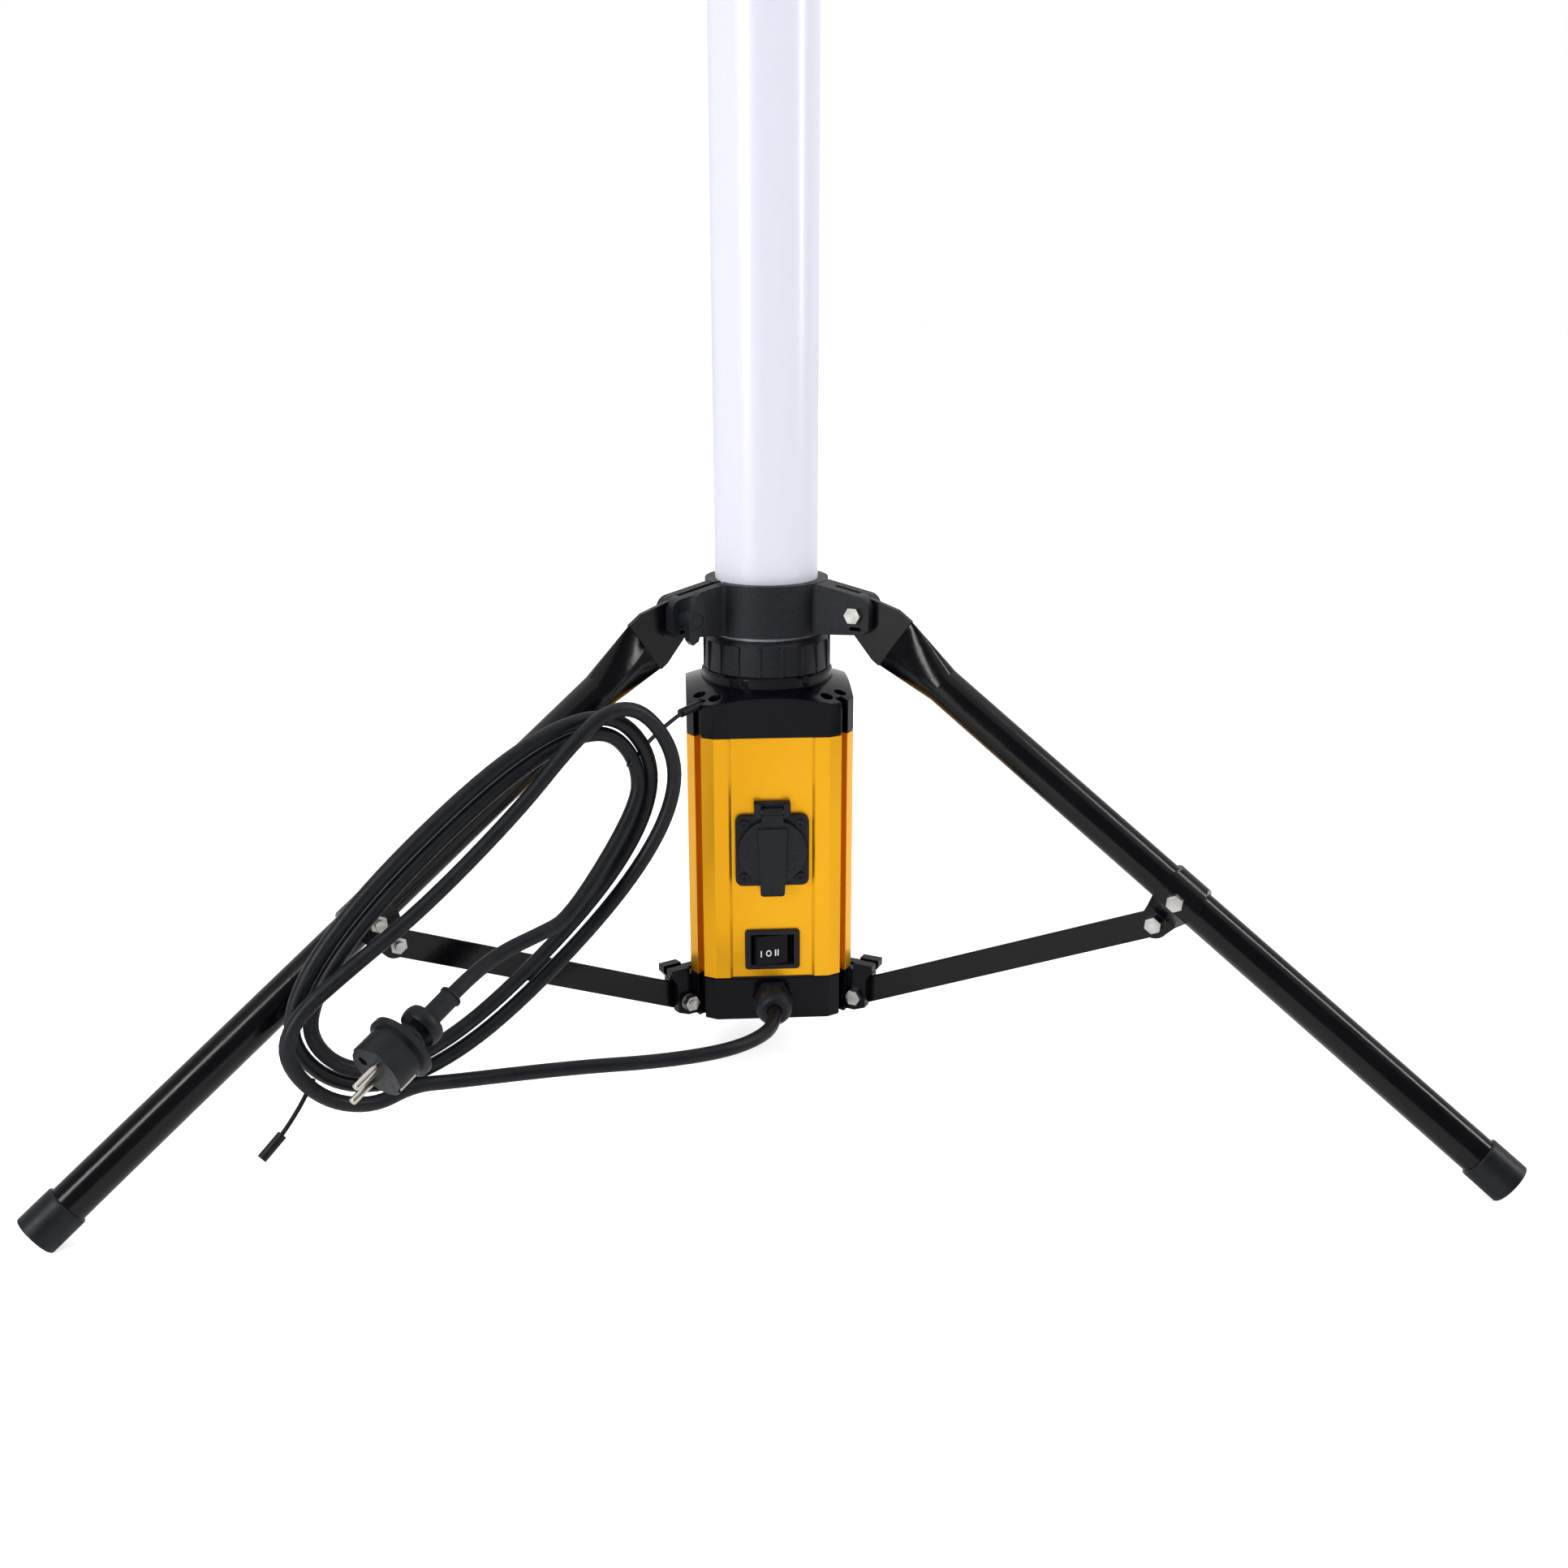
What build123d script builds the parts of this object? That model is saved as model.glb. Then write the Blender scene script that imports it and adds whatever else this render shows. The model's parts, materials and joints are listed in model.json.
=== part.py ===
from build123d import *
from math import cos, hypot, pi, radians, sin, sqrt, tan
import os

# Tubular work light on a folding tripod: an opal lamp tube stands in a yellow
# housing with a socket, a switch and a cable, and a hub that slides on the tube
# folds three legs. Millimetres, +Z up, drawn about the lamp axis with the floor
# at z = 0 and the socket facing -Y. Each piece is moved at the end so that the
# origin is under the middle of the whole light, on the floor.

os.makedirs("parts", exist_ok=True)

# ---- driving dimensions ----
LAMP_R = 35.0            # opal tube, outside
LAMP_WALL = 2.5
LAMP_BOTTOM = 272.0
LAMP_TOP = 1462.0
CAP_TOP = 1484.0

HOUSE_HALF = 56.3        # half width of the square housing
HOUSE_FLAT = 39.0        # where its corners start to turn
CORNER = (51.4, 47.5)    # small flat across each corner, where the slot is
BASE_Z = 42.0            # base cap, extrusion and top cap, bottom to top
EXTRUSION_Z = 73.0
TOP_CAP_Z = 247.0
TOP_CORNER_Z = 269.5
CORNER_RISE = 4.0        # crown of each side's top edge
GASKET = 1.0
WALL = 3.2
PANEL_HALF = 29.3        # recessed panel in each side of the extrusion
PANEL_DEPTH = 1.5
SCREW_AT = (47.2, 37.2)  # housing screws, two beside each corner slot

SEAT_R = 45.0            # smooth ring that carries the lamp tube
LOCK_Z = (284.0, 307.0)  # ribbed lock ring
LOCK_R = 42.8
LOCK_RIBS = 18

HUB_Z = (310.0, 345.0)
HUB_R = 42.0
HUB_BORE_R = 35.3
PIVOT_R, PIVOT_Z = 70.0, 326.0        # leg pivot in its fold plane
ARM_HALF = 10.5
PLATE = 4.0              # thickness of a leg's flattened top
FORK_GAP = 4.8

LEG_TILT = 54.17         # leg from the vertical when spread
LEG_LENGTH = 540.5       # pivot to the sole of the foot
LEG_R = 12.5
LEG_WALL = 1.5
FLAT_END, ROUND_START = 32.0, 74.0    # along the leg from its pivot
CLAMP_AT = 278.5         # clamp bolt of the brace bracket, along the leg
BRACE_DROP = 26.3        # brace pivot below the leg's axis
BRACE_WIDTH = 18.0
BRACE_THICK = 3.0
BRACE_GAP = 3.6
COLLAR_R, COLLAR_Z = 73.0, 52.4       # inner end of a brace
EAR_HALF = 9.5
BOLT_R = 3.0             # M6
BOLT_FLATS = 10.0
PIVOT_PLAY = 0.05

FOOT_R, FOOT_LENGTH, SOLE = 14.15, 25.0, 3.5

SOCKET_Z = 167.7
SOCKET_SIZE = 50.0
RECESS_R, RECESS_DEPTH = 19.5, 17.5
PIN_SPACING, PIN_HOLE_R = 19.0, 2.5
LID_R = 23.0
LID_HINGE_Z = SOCKET_Z + 28.5
LID_PIN_R = 1.25
SWITCH_Z = 94.6
GLAND_Z = 58.0
CORD_R = 4.7             # 3 x 1.5 rubber cable

LEGS = {"left": -60.0, "right": 60.0, "rear": 180.0}
ORIGIN_Y = 124.68        # middle of the light, behind the lamp axis


def save(builder, name):
    """Label a piece, move it to the row's origin and write it."""
    piece = builder.part.moved(Location((0, -ORIGIN_Y, 0)))
    piece.label = name
    export_step(piece, f"parts/{name}.step")


def fold_plane(angle=0.0, offset=0.0):
    """The plane that a leg folds in: x runs outwards, y runs up."""
    a = radians(angle)
    plane = Plane(origin=(0, 0, 0), x_dir=(sin(a), -cos(a), 0), z_dir=(-cos(a), -sin(a), 0))
    return plane.offset(offset)


FOLD = fold_plane()
TILT = radians(LEG_TILT)
LEG_DIR = (0, -sin(TILT), -cos(TILT))
PIVOT = (0, -PIVOT_R, PIVOT_Z)
LEG_SIDE = Plane(origin=PIVOT, x_dir=LEG_DIR, z_dir=(-1, 0, 0))


def leg_section(along):
    """The plane across a leg: x is sideways, y is up off the leg."""
    origin = (0, -(PIVOT_R + along * sin(TILT)), PIVOT_Z - along * cos(TILT))
    return Plane(origin=origin, x_dir=(1, 0, 0), z_dir=LEG_DIR)


def fold_point(along, up):
    """A point of the leg's side view as (outwards, height)."""
    return (PIVOT_R + along * sin(TILT) + up * cos(TILT), PIVOT_Z - along * cos(TILT) + up * sin(TILT))


BRACE_PIVOT = fold_point(CLAMP_AT, -BRACE_DROP)
BRACE_RUN = (BRACE_PIVOT[0] - COLLAR_R, BRACE_PIVOT[1] - COLLAR_Z)
BRACE_LENGTH = hypot(*BRACE_RUN)


def put_discs(plane, spots, radius, start, height, mode=Mode.ADD):
    """Discs on spots of a plane, from start to start + height along its normal."""
    with BuildSketch(plane.offset(start)) as discs:
        with Locations(*spots):
            Circle(radius)
    extrude(discs.sketch, amount=height, mode=mode)


def put_hexagon(plane, spot, start, height, flats=BOLT_FLATS, hole_r=0.0):
    """Bolt head or, with a hole, a nut, from start to start + height."""
    with BuildSketch(plane.offset(start)) as hexagon:
        with Locations(spot):
            RegularPolygon(flats / 2, 6, major_radius=False)
            if hole_r:
                Circle(hole_r, mode=Mode.SUBTRACT)
    extrude(hexagon.sketch, amount=height)


def put_bolt(plane, spot, grip):
    """M6 bolt across plus and minus grip, and its nut as its own solid."""
    head, nut, tail = 4.0, 5.2, 7.5
    put_hexagon(plane, spot, grip, head)
    put_discs(plane, [spot], BOLT_R, -grip - tail, 2 * grip + tail)
    put_hexagon(plane, spot, -grip, -nut, hole_r=BOLT_R + PIVOT_PLAY)


def eight_corners(near, far):
    """The points (near, far) and (far, near) mirrored into all four corners, in order."""
    return [(near, far), (far, near), (-far, near), (-near, far),
            (-near, -far), (-far, -near), (far, -near), (near, -far)]


def housing_outline(inset=0.0):
    """Square whose corners turn in three short flats, into the sketch being drawn."""
    half, flat = HOUSE_HALF - inset, HOUSE_FLAT - 0.3 * inset
    wide, narrow = CORNER[0] - 0.8 * inset, CORNER[1] - 0.8 * inset
    quarter = [(half, flat), (wide, narrow), (narrow, wide), (flat, half)]
    corners = []
    for turn in range(4):
        corners += quarter
        quarter = [(-y, x) for x, y in quarter]
    Polygon(*corners, align=None)


SCREW_SPOTS = [(x * i, y * j) for x, y in (SCREW_AT, SCREW_AT[::-1]) for i in (-1, 1) for j in (-1, 1)]
CORNER_ANGLES = (45, 135, 225, 315)
SLOT_OUT = sum(CORNER) / sqrt(2)      # lamp axis to a corner's flat


def housing_cavity(mode):
    """Inside of the housing, cut off at the corners to leave the screw ports."""
    inner = HOUSE_HALF - WALL
    flat = SCREW_AT[0] + SCREW_AT[1] - 7.6 - inner
    Polygon(*eight_corners(inner, flat), align=None, mode=mode)


def corner_slots(width, depth, mode=Mode.ADD):
    """Diagonal slots in the four corners, into the sketch being drawn."""
    for angle in CORNER_ANGLES:
        with Locations(Location((0, 0, 0), (0, 0, angle))):
            with Locations((SLOT_OUT - depth / 2, 0)):
                Rectangle(depth + 0.02, width, mode=mode)


# ---- lamp tube ----
with BuildPart() as diffuser_tube:
    with BuildSketch(Plane.XY.offset(LAMP_BOTTOM)):
        Circle(LAMP_R)
        Circle(LAMP_R - LAMP_WALL, mode=Mode.SUBTRACT)
    extrude(amount=LAMP_TOP - LAMP_BOTTOM)
save(diffuser_tube, "diffuser_tube")

CORE_Z = (LAMP_BOTTOM + 12, LAMP_TOP - 12)
CORE_APOTHEM = 11.0
BOARD_THICK = 1.6
with BuildPart() as led_core:
    with BuildSketch(Plane.XY.offset(CORE_Z[0])):
        RegularPolygon(CORE_APOTHEM, 6, major_radius=False)
        Circle(CORE_APOTHEM - 2.5, mode=Mode.SUBTRACT)
    extrude(amount=CORE_Z[1] - CORE_Z[0])
save(led_core, "led_core")

with BuildPart() as led_boards:
    for i in range(6):
        with BuildSketch(Plane.XY.offset(CORE_Z[0] + 10)):
            with Locations(Location((0, 0, 0), (0, 0, 60 * i + 30))):
                with Locations((CORE_APOTHEM + BOARD_THICK / 2, 0)):
                    Rectangle(BOARD_THICK, 11)
        extrude(amount=CORE_Z[1] - CORE_Z[0] - 20)
save(led_boards, "led_boards")

LED_PITCH, LED_ROWS = 56.0, 20
with BuildPart() as led_packages:
    for i in range(6):
        with Locations(Location((0, 0, CORE_Z[0] + 50), (0, 0, 60 * i + 30))):
            with Locations(*[(CORE_APOTHEM + BOARD_THICK + 0.4, 0, LED_PITCH * k) for k in range(LED_ROWS)]):
                Box(0.8, 3.5, 2.8)
save(led_packages, "led_packages")

with BuildPart() as core_spacers:
    for z in (CORE_Z[0] + 2, CORE_Z[1] - 6):
        with BuildSketch(Plane.XY.offset(z)):
            Circle(LAMP_R - LAMP_WALL - 0.1)
            RegularPolygon(CORE_APOTHEM, 6, major_radius=False, mode=Mode.SUBTRACT)
            with PolarLocations(22, 6):
                Circle(6, mode=Mode.SUBTRACT)
        extrude(amount=4)
save(core_spacers, "core_spacers")

# ---- top cap of the lamp tube, with a hanging eye ----
EYE_R, EYE_HOLE_R, EYE_THICK = 13.0, 6.0, 9.0
with BuildPart() as top_cap:
    with BuildSketch(FOLD):
        with BuildLine():
            Polyline((0, LAMP_TOP + 0.2), (LAMP_R + 0.1, LAMP_TOP + 0.2), (LAMP_R + 0.1, LAMP_TOP - 26),
                     (LAMP_R + 3, LAMP_TOP - 26), (LAMP_R + 3.4, LAMP_TOP + 8))
            ThreePointArc((LAMP_R + 3.4, LAMP_TOP + 8), (LAMP_R - 2, LAMP_TOP + 18), (LAMP_R - 14, CAP_TOP))
            Polyline((LAMP_R - 14, CAP_TOP), (0, CAP_TOP), (0, LAMP_TOP + 0.2))
        make_face()
    revolve(axis=Axis.Z)
    with BuildSketch(Plane.XZ.offset(-EYE_THICK / 2)):
        with Locations((0, CAP_TOP + 6)):
            Circle(EYE_R)
        with Locations((0, CAP_TOP - 3)):
            Rectangle(2 * EYE_R, 18)
    extrude(amount=EYE_THICK)
    fillet(top_cap.edges().filter_by(GeomType.CIRCLE).filter_by(lambda e: abs(e.radius - EYE_R) < 0.01), 1.2)
    with BuildSketch(Plane.XZ.offset(-EYE_THICK)):
        with Locations((0, CAP_TOP + 6)):
            Circle(EYE_HOLE_R)
    extrude(amount=2 * EYE_THICK, mode=Mode.SUBTRACT)
    with BuildSketch(Plane.XY.offset(LAMP_TOP - 24)):
        with PolarLocations(LAMP_R + 3.3, 24):
            Circle(0.9)
    extrude(amount=28, mode=Mode.SUBTRACT)
    for i in range(3):
        plane = fold_plane(120 * i)
        drill = Plane(origin=plane.from_local_coords((LAMP_R, LAMP_TOP - 18, 0)), z_dir=plane.x_dir)
        put_discs(drill, [(0, 0)], 1.6, -1, 8, Mode.SUBTRACT)
save(top_cap, "top_cap")

with BuildPart() as top_cap_screws:
    for i in range(3):
        plane = fold_plane(120 * i)
        drill = Plane(origin=plane.from_local_coords((LAMP_R, LAMP_TOP - 18, 0)), z_dir=plane.x_dir)
        put_discs(drill, [(0, 0)], 1.5, 0.2, 3)
        put_discs(drill, [(0, 0)], 2.8, 3.3, 1.4)
save(top_cap_screws, "top_cap_screws")

with BuildPart() as top_cap_seal:
    with BuildSketch(FOLD):
        with Locations((LAMP_R + 1.3, LAMP_TOP - 27.2)):
            Circle(1.2)
    revolve(axis=Axis.Z)
save(top_cap_seal, "top_cap_seal")

# ---- lamp seat and lock ring ----
NECK_R = 39.0
with BuildPart() as tube_seat:
    with BuildSketch(FOLD):
        with BuildLine():
            Polyline((28, 262), (28, 268), (LAMP_R + 0.1, 268), (LAMP_R + 0.1, 299), (NECK_R, 299),
                     (NECK_R, LOCK_Z[0] - 0.4), (SEAT_R - 1.2, LOCK_Z[0] - 0.4), (SEAT_R, LOCK_Z[0] - 1.6),
                     (SEAT_R, 262), (28, 262))
        make_face()
    revolve(axis=Axis.Z)
    with BuildSketch(Plane.XY.offset(LOCK_Z[0] - 6)):
        with PolarLocations(SEAT_R + 1.5, 6, start_angle=-90 + 33):
            Circle(3)
    extrude(amount=8, mode=Mode.SUBTRACT)
save(tube_seat, "tube_seat")

with BuildPart() as tube_seal:
    with BuildSketch(FOLD):
        with BuildLine():
            Polyline((LAMP_R + 0.05, 299.1), (38.4, 299.1), (38.4, 301.5), (36.4, 303.6), (LAMP_R + 0.05, 303.6), close=True)
        make_face()
    revolve(axis=Axis.Z)
save(tube_seal, "tube_seal")

with BuildPart() as lock_ring:
    with BuildSketch(FOLD):
        with BuildLine():
            Polyline((NECK_R + PIVOT_PLAY, LOCK_Z[0]), (LOCK_R + 0.2, LOCK_Z[0]), (LOCK_R - 0.8, LOCK_Z[1] - 3),
                     (LOCK_R - 3, LOCK_Z[1]), (LAMP_R + 0.5, LOCK_Z[1]), (LAMP_R + 0.5, LOCK_Z[1] - 2.6),
                     (NECK_R + PIVOT_PLAY, LOCK_Z[1] - 2.6), close=True)
        make_face()
    revolve(axis=Axis.Z)
    with BuildSketch(Plane.XY.offset(LOCK_Z[0])):
        with PolarLocations(LOCK_R, LOCK_RIBS):
            Rectangle(1.8, 2.4)
    extrude(amount=LOCK_Z[1] - LOCK_Z[0] - 3)
save(lock_ring, "lock_ring")

# ---- housing ----
CROWN_R = ((HOUSE_HALF ** 2 + HOUSE_FLAT ** 2) - HOUSE_HALF ** 2) / (2 * CORNER_RISE)
CROWN_Z = TOP_CORNER_Z + (HOUSE_HALF ** 2 + HOUSE_FLAT ** 2) / (2 * CROWN_R)
with BuildPart() as housing_top_cap:
    with BuildSketch(Plane.XY.offset(TOP_CAP_Z)):
        housing_outline()
    extrude(amount=CROWN_Z - TOP_CAP_Z)
    with Locations((0, 0, CROWN_Z - CROWN_R)):
        Sphere(CROWN_R, mode=Mode.INTERSECT)
    with BuildSketch(Plane.XY.offset(TOP_CAP_Z)):
        housing_outline(WALL)
        with Locations(*SCREW_SPOTS):
            Circle(6.5, mode=Mode.SUBTRACT)
        corner_slots(16, 16, Mode.SUBTRACT)
    extrude(amount=12, mode=Mode.SUBTRACT)
    with BuildSketch(Plane.XY.offset(TOP_CAP_Z)):
        Circle(SEAT_R + 0.1)
        corner_slots(7, 6)
    extrude(amount=60, mode=Mode.SUBTRACT)
    put_discs(Plane.XY, SCREW_SPOTS, 4.25, TOP_CAP_Z + 11, 40, Mode.SUBTRACT)
    put_discs(Plane.XY, SCREW_SPOTS, 2.3, TOP_CAP_Z - 1, 40, Mode.SUBTRACT)
    with BuildSketch(Plane.XY.offset(TOP_CAP_Z)):
        for angle in CORNER_ANGLES:
            with Locations(Location((0, 0, 0), (0, 0, angle))):
                with Locations((SLOT_OUT - 4.4, 0)):
                    Rectangle(3.4, 3.6)
    extrude(amount=17)
save(housing_top_cap, "housing_top_cap")

with BuildPart() as housing_extrusion:
    with BuildSketch(Plane.XY.offset(EXTRUSION_Z + GASKET)):
        housing_outline()
        for angle in (0, 90, 180, 270):
            with Locations(Location((0, 0, 0), (0, 0, angle))):
                with Locations((HOUSE_HALF - PANEL_DEPTH / 2, 0)):
                    Rectangle(PANEL_DEPTH + 0.02, 2 * PANEL_HALF, mode=Mode.SUBTRACT)
        housing_cavity(Mode.SUBTRACT)
        with Locations(*SCREW_SPOTS):
            Circle(1.9, mode=Mode.SUBTRACT)
    extrude(amount=TOP_CAP_Z - EXTRUSION_Z - 2 * GASKET)
    with BuildSketch(Plane.XY.offset(EXTRUSION_Z)):
        corner_slots(6, 7)
    extrude(amount=TOP_CAP_Z - EXTRUSION_Z, mode=Mode.SUBTRACT)
    with BuildSketch(Plane.XZ.offset(30)):
        with Locations((0, SOCKET_Z)):
            Circle(22.2)
            with GridLocations(38, 38, 2, 2):
                Circle(1.9)
        with Locations((0, SWITCH_Z)):
            Rectangle(32, 25)
    extrude(amount=30, mode=Mode.SUBTRACT)
save(housing_extrusion, "housing_extrusion")

with BuildPart() as housing_gaskets:
    for z in (EXTRUSION_Z, TOP_CAP_Z - GASKET):
        with BuildSketch(Plane.XY.offset(z)):
            housing_outline(0.6)
            housing_cavity(Mode.SUBTRACT)
            with Locations(*SCREW_SPOTS):
                Circle(2.3, mode=Mode.SUBTRACT)
            corner_slots(7, 7.6, Mode.SUBTRACT)
        extrude(amount=GASKET)
save(housing_gaskets, "housing_gaskets")

with BuildPart() as housing_screws:
    for z, way in ((TOP_CAP_Z + 11, 1), (BASE_Z + 8, -1)):
        plane = Plane.XY.offset(z) if way > 0 else Plane(origin=(0, 0, z), x_dir=(1, 0, 0), z_dir=(0, 0, -1))
        put_discs(plane, SCREW_SPOTS, 3.5, 0, 2.6)
        put_discs(plane, SCREW_SPOTS, 1.85, -42, 42)
        put_discs(plane, SCREW_SPOTS, 1.5, 1.2, 2, Mode.SUBTRACT)
save(housing_screws, "housing_screws")

# ---- base cap with the three clevises of the braces ----
POCKET_R = 54.0
POCKET_HALF = BRACE_THICK / 2 + 0.8
with BuildPart() as base_cap:
    with BuildSketch(Plane.XY.offset(BASE_Z)):
        housing_outline()
    extrude(amount=EXTRUSION_Z - BASE_Z)
    fillet(base_cap.faces().sort_by(Axis.Z)[0].edges(), 2)
    with BuildSketch(Plane.XY.offset(BASE_Z + WALL)):
        housing_cavity(Mode.ADD)
    extrude(amount=40, mode=Mode.SUBTRACT)
    for angle in LEGS.values():
        plane = fold_plane(angle)
        with BuildSketch(plane.offset(-EAR_HALF)):
            with BuildLine():
                Polyline((POCKET_R - 4, BASE_Z), (COLLAR_R, BASE_Z), (COLLAR_R + 8, BASE_Z + 3),
                         (COLLAR_R + 8.5, COLLAR_Z + 14), (COLLAR_R + 13, COLLAR_Z + 20),
                         (COLLAR_R + 13, COLLAR_Z + 25), (COLLAR_R - 1, COLLAR_Z + 25),
                         (COLLAR_R - 1, COLLAR_Z + 20.4), (POCKET_R - 4, COLLAR_Z + 20.4), close=True)
            make_face()
        extrude(amount=2 * EAR_HALF)
        with BuildSketch(plane.offset(-POCKET_HALF)):
            with BuildLine():
                Polyline((POCKET_R, BASE_Z - 5), (COLLAR_R + 30, BASE_Z - 5), (COLLAR_R + 30, COLLAR_Z + 40),
                         (POCKET_R, COLLAR_Z + 40), close=True)
            make_face()
        extrude(amount=2 * POCKET_HALF, mode=Mode.SUBTRACT)
        put_discs(plane, [(COLLAR_R, COLLAR_Z)], BOLT_R + 0.1, -20, 40, Mode.SUBTRACT)
        put_discs(plane, [(COLLAR_R, COLLAR_Z)], 7.5, EAR_HALF, 9, Mode.SUBTRACT)
        put_discs(plane, [(COLLAR_R, COLLAR_Z)], 7.5, -EAR_HALF, -9, Mode.SUBTRACT)
    with BuildSketch(Plane.XY.offset(BASE_Z)):
        corner_slots(7, 6)
    extrude(amount=40, mode=Mode.SUBTRACT)
    put_discs(Plane.XY, SCREW_SPOTS, 4.25, BASE_Z - 1, 9, Mode.SUBTRACT)
    put_discs(Plane.XY, SCREW_SPOTS, 2.3, BASE_Z, 40, Mode.SUBTRACT)
    put_discs(Plane.XZ, [(0, GLAND_Z)], 8.1, 50, 10, Mode.SUBTRACT)
save(base_cap, "base_cap")

with BuildPart() as collar_bolts:
    for angle in LEGS.values():
        plane = fold_plane(angle)
        spot = (COLLAR_R, COLLAR_Z)
        put_discs(plane, [spot], BOLT_R, POCKET_HALF + 0.2, EAR_HALF - POCKET_HALF - 0.2)
        put_hexagon(plane, spot, EAR_HALF, 4)
        put_discs(plane, [spot], BOLT_R, -EAR_HALF - 7, EAR_HALF + 7 - POCKET_HALF - 0.2)
        put_discs(plane, [spot], 6, -EAR_HALF, -1.2)
        put_hexagon(plane, spot, -EAR_HALF - 1.2, -5)
save(collar_bolts, "collar_bolts")

# ---- socket ----
PANEL_Y = HOUSE_HALF - PANEL_DEPTH       # face of the recessed panel, towards -Y
FRONT = Plane.XZ                         # x to the right, y up, normal towards -Y
FLANGE_Y = PANEL_Y + 4.0
HINGE_Y = FLANGE_Y + 2.6
LID_EARS = (7.7, 12.2)
with BuildPart() as socket_body:
    with BuildSketch(FRONT.offset(PANEL_Y)):
        with Locations((0, SOCKET_Z)):
            RectangleRounded(SOCKET_SIZE, SOCKET_SIZE, 5)
    extrude(amount=4)
    put_discs(FRONT, [(0, SOCKET_Z)], 22.0, PANEL_Y - 36, 36)
    with BuildSketch(FRONT.offset(PANEL_Y)):
        with Locations((0, SOCKET_Z + 28.5)):
            Rectangle(2 * LID_EARS[1], 12)
    extrude(amount=4)
    with BuildSketch(FRONT.offset(FLANGE_Y)):
        with Locations((0, LID_HINGE_Z + 1)):
            for side in (-1, 1):
                with Locations((side * (LID_EARS[0] + LID_EARS[1]) / 2, 0)):
                    Rectangle(LID_EARS[1] - LID_EARS[0], 9)
    extrude(amount=5)
    put_discs(FRONT, [(0, SOCKET_Z)], RECESS_R, FLANGE_Y - RECESS_DEPTH, 30, Mode.SUBTRACT)
    pins = [(-PIN_SPACING / 2, SOCKET_Z), (PIN_SPACING / 2, SOCKET_Z)]
    put_discs(FRONT, pins, PIN_HOLE_R, FLANGE_Y - RECESS_DEPTH - 19, 20, Mode.SUBTRACT)
    with BuildSketch(FRONT.offset(FLANGE_Y - RECESS_DEPTH - 6)):
        for side in (-1, 1):
            with Locations((0, SOCKET_Z + side * RECESS_R)):
                Rectangle(5.2, 3.6)
    extrude(amount=RECESS_DEPTH + 3, mode=Mode.SUBTRACT)
    with BuildSketch(FRONT.offset(FLANGE_Y)):
        with Locations((0, SOCKET_Z)):
            with GridLocations(38, 38, 2, 2):
                Circle(1.9)
    extrude(amount=-8, mode=Mode.SUBTRACT)
    hinge_line = Plane(origin=(0, -HINGE_Y, LID_HINGE_Z), x_dir=(0, 1, 0), z_dir=(1, 0, 0))
    put_discs(hinge_line, [(0, 0)], LID_PIN_R, -14, 28, Mode.SUBTRACT)
save(socket_body, "socket_body")

with BuildPart() as socket_contacts:
    put_discs(FRONT, [(0, SOCKET_Z + 19.6), (0, SOCKET_Z - 19.6)], 0.9, FLANGE_Y - 21, 17)
    with BuildSketch(FRONT.offset(PANEL_Y - 36)):
        with Locations((-9.5, SOCKET_Z), (9.5, SOCKET_Z), (0, SOCKET_Z - 15)):
            Rectangle(7, 6)
    extrude(amount=-5)
save(socket_contacts, "socket_contacts")

with BuildPart() as socket_screws:
    with BuildSketch(FRONT.offset(FLANGE_Y)):
        with Locations((0, SOCKET_Z)):
            with GridLocations(38, 38, 2, 2):
                Circle(3.1)
    extrude(amount=1.8)
    with BuildSketch(FRONT.offset(FLANGE_Y)):
        with Locations((0, SOCKET_Z)):
            with GridLocations(38, 38, 2, 2):
                Circle(1.7)
    extrude(amount=-12)
    with BuildSketch(FRONT.offset(FLANGE_Y + 1)):
        with Locations((0, SOCKET_Z)):
            with GridLocations(38, 38, 2, 2):
                Rectangle(4, 0.9)
                Rectangle(0.9, 4)
    extrude(amount=2, mode=Mode.SUBTRACT)
save(socket_screws, "socket_screws")

with BuildPart() as lid_pin:
    put_discs(hinge_line, [(0, 0)], LID_PIN_R, -LID_EARS[1], 2 * LID_EARS[1])
save(lid_pin, "lid_pin")

LID_BACK = FLANGE_Y + 0.4
LID_THICK = 3.4
KNUCKLE_HALF = LID_EARS[0] - 0.3
with BuildPart() as socket_lid:
    with BuildSketch(FRONT.offset(LID_BACK + 0.01)):
        with Locations((0, SOCKET_Z)):
            Circle(LID_R)
        with Locations((0, (SOCKET_Z + LID_HINGE_Z) / 2 + 8)):
            Rectangle(2 * KNUCKLE_HALF, 8)
        with Locations((0, SOCKET_Z - 27)):
            RectangleRounded(16.5, 10, 2)
    extrude(amount=LID_THICK)
    fillet(socket_lid.faces().sort_by(Axis.Y)[0].edges().filter_by(GeomType.CIRCLE), 0.8)
    with BuildSketch(FRONT.offset(LID_BACK + LID_THICK)):
        with BuildLine():
            Polyline((-9.9, SOCKET_Z + 17), (9.9, SOCKET_Z + 17), (8.2, SOCKET_Z - 29), (-8.2, SOCKET_Z - 29), close=True)
        make_face()
    extrude(amount=1.6)
    with BuildSketch(hinge_line.offset(-KNUCKLE_HALF)):
        Circle(2.5)
    extrude(amount=2 * KNUCKLE_HALF)
    put_discs(hinge_line, [(0, 0)], LID_PIN_R + PIVOT_PLAY, -14, 28, Mode.SUBTRACT)
    with BuildSketch(FRONT.offset(LID_BACK + 0.01)):
        with Locations((0, SOCKET_Z)):
            Circle(RECESS_R - 0.9)
            Circle(RECESS_R - 3, mode=Mode.SUBTRACT)
    extrude(amount=-2.4)
save(socket_lid, "socket_lid")

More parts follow.
